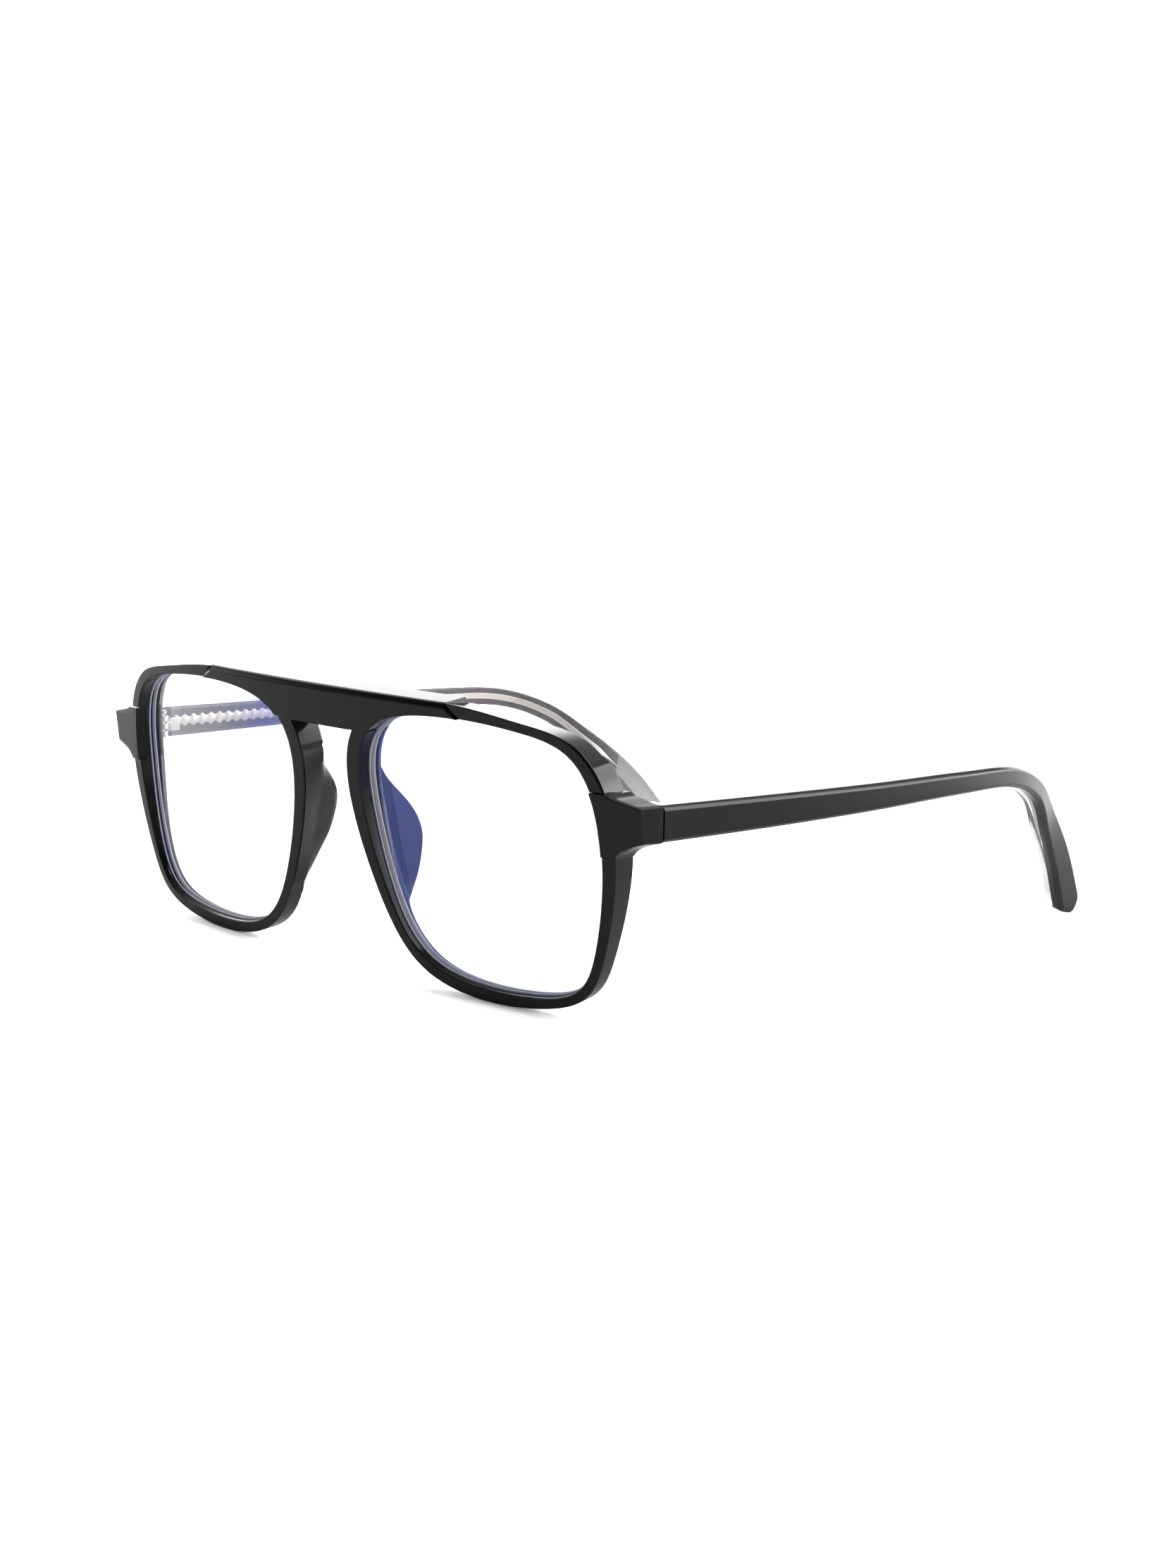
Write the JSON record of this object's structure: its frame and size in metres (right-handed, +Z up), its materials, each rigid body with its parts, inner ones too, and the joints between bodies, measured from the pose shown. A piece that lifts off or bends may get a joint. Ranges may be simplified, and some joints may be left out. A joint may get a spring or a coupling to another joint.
{
  "type": "eyeglasses",
  "caption": "Square aviator blue light glasses with a flat brow bar, coated lenses and two-layer folding temples around a metal core wire.",
  "frame": {"origin": "on the surface that the open glasses stand on, under the middle of their bounding box", "axes": "+Z up, -Y the way the wearer looks, +X the wearer's left; X is across the front"},
  "size_m": [0.1448, 0.1401, 0.05],
  "materials": {
    "black_plastic": "polished black plastic with a soft gloss",
    "pad_plastic": "black plastic, polished, slightly softer than the rims",
    "temple_black": "polished black outer layer",
    "clear_plastic": "clear polished inner layer",
    "coated_lens": "clear lens with a coating that reflects blue and violet",
    "hinge_steel": "nickel silver, lightly brushed",
    "screw_steel": "bright steel",
    "core_metal": "pressed bright metal with a slightly warm tone"
  },
  "bodies": {
    "front": {"brow_bar": "black_plastic", "rim_left": "black_plastic", "rim_right": "black_plastic", "end_piece_left": "black_plastic", "end_piece_right": "black_plastic", "lens_left": "coated_lens", "lens_right": "coated_lens", "nose_pad_left": "pad_plastic", "nose_pad_right": "pad_plastic", "front_hinge_left": "hinge_steel", "front_hinge_right": "hinge_steel", "hinge_screw_left": "screw_steel", "hinge_screw_right": "screw_steel"},
    "temple_left": {"temple_hinge_left": "hinge_steel", "temple_shell_left": "temple_black", "temple_liner_left": "clear_plastic", "core_wire_left": "core_metal"},
    "temple_right": {"temple_hinge_right": "hinge_steel", "temple_shell_right": "temple_black", "temple_liner_right": "clear_plastic", "core_wire_right": "core_metal"}
  },
  "joints": [
    {"name": "fold_left", "type": "hinge", "parent": "front", "child": "temple_left", "pos_m": [0.0657, -0.0548, 0.0336], "axis": [0, 0, 1], "range_deg": [0, 84]},
    {"name": "fold_right", "type": "hinge", "parent": "front", "child": "temple_right", "pos_m": [-0.0657, -0.0548, 0.0336], "axis": [0, 0, -1], "range_deg": [0, 73]}
  ]
}
